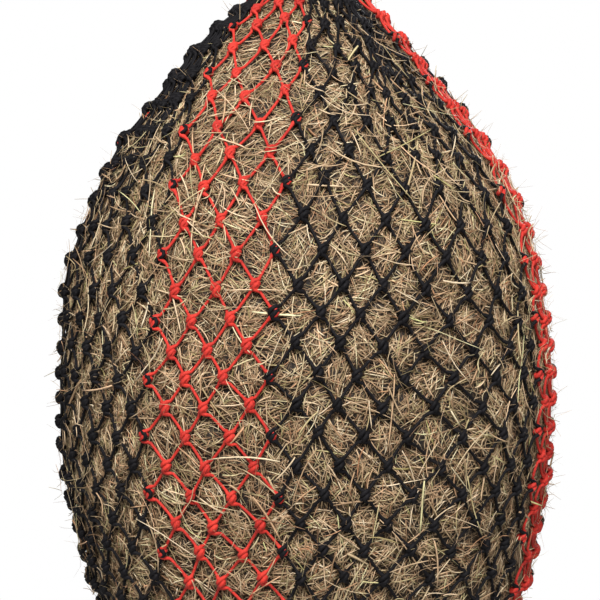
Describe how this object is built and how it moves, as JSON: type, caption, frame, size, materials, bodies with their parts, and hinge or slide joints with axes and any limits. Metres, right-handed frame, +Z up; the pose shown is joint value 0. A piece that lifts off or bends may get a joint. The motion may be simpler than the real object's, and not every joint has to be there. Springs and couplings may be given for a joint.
{
  "type": "hay net",
  "caption": "Filled small-mesh hay net of knotted black twine with red bands, drawn shut and hanging from its drawcord loop, with a tie ring at the base.",
  "frame": {"origin": "the point under the hanging loop's crown where a hook bears", "axes": "+Z up along the net's length, front with the wide red band towards -Y"},
  "size_m": [0.5346, 0.5346, 1.1211],
  "materials": {
    "black_twine": "matte",
    "red_twine": "matte",
    "hay": "matte",
    "black_rope": "matte",
    "steel": "polished"
  },
  "bodies": {
    "hanging_loop": {"hanging_loop": "black_rope"},
    "knot": {"loop_knot": "black_rope", "knot_tail_left": "black_rope", "knot_tail_right": "black_rope"},
    "cord_legs": {"drawcord_leg_left": "black_rope", "drawcord_leg_right": "black_rope"},
    "mouth": {"mouth_drawcord": "black_rope", "mouth_gather": "black_twine"},
    "net": {"hay_neck": "hay", "hay_upper": "hay", "hay_lower": "hay", "red_mesh_column_01": "red_twine", "red_mesh_column_02": "red_twine", "red_mesh_column_03": "red_twine", "red_mesh_column_04": "red_twine", "red_mesh_column_05": "red_twine", "red_mesh_column_06": "red_twine", "red_mesh_column_07": "red_twine", "red_mesh_column_08": "red_twine", "red_mesh_column_09": "red_twine", "red_mesh_column_10": "red_twine", "red_mesh_column_11": "red_twine", "red_mesh_column_12": "red_twine", "black_mesh_column_01": "black_twine", "black_mesh_column_02": "black_twine", "black_mesh_column_03": "black_twine", "black_mesh_column_04": "black_twine", "black_mesh_column_05": "black_twine", "black_mesh_column_06": "black_twine", "black_mesh_column_07": "black_twine", "black_mesh_column_08": "black_twine", "black_mesh_column_09": "black_twine", "black_mesh_column_10": "black_twine", "black_mesh_column_11": "black_twine", "black_mesh_column_12": "black_twine", "black_mesh_column_13": "black_twine", "black_mesh_column_14": "black_twine", "black_mesh_column_15": "black_twine", "black_mesh_column_16": "black_twine", "black_mesh_column_17": "black_twine", "black_mesh_column_18": "black_twine", "black_mesh_column_19": "black_twine", "black_mesh_column_20": "black_twine", "black_mesh_column_21": "black_twine", "black_mesh_column_22": "black_twine", "black_mesh_column_23": "black_twine", "black_mesh_column_24": "black_twine", "black_mesh_column_25": "black_twine", "black_mesh_column_26": "black_twine", "black_mesh_column_27": "black_twine", "black_mesh_column_28": "black_twine", "base_gather": "black_twine", "base_lashing": "black_twine"},
    "base_becket": {"base_becket": "black_twine"},
    "base_ring": {"base_ring": "steel"}
  },
  "joints": [
    {"name": "swing_fore_aft", "type": "hinge", "parent": "hanging_loop", "child": "knot", "pos_m": [0, 0, -0.078], "axis": [1, 0, 0], "range_deg": [-35, 35]},
    {"name": "swing_sideways", "type": "hinge", "parent": "knot", "child": "cord_legs", "pos_m": [0, 0, -0.078], "axis": [0, 1, 0], "range_deg": [-35, 35]},
    {"name": "mouth_draw", "type": "slide", "parent": "cord_legs", "child": "mouth", "axis": [0, 0, 1], "range_m": [0, 0.03], "deforming": ["drawcord_leg_left", "drawcord_leg_right"]},
    {"name": "net_twist", "type": "hinge", "parent": "mouth", "child": "net", "pos_m": [0, 0, -0.165], "axis": [0, 0, 1], "range_deg": [-60, 60]},
    {"name": "becket_swing", "type": "hinge", "parent": "net", "child": "base_becket", "pos_m": [0, 0, -1.0627], "axis": [0, 1, 0], "range_deg": [-50, 50]},
    {"name": "base_ring_swing", "type": "hinge", "parent": "base_becket", "child": "base_ring", "pos_m": [0, 0, -1.0776], "axis": [1, 0, 0], "range_deg": [-80, 80]}
  ]
}
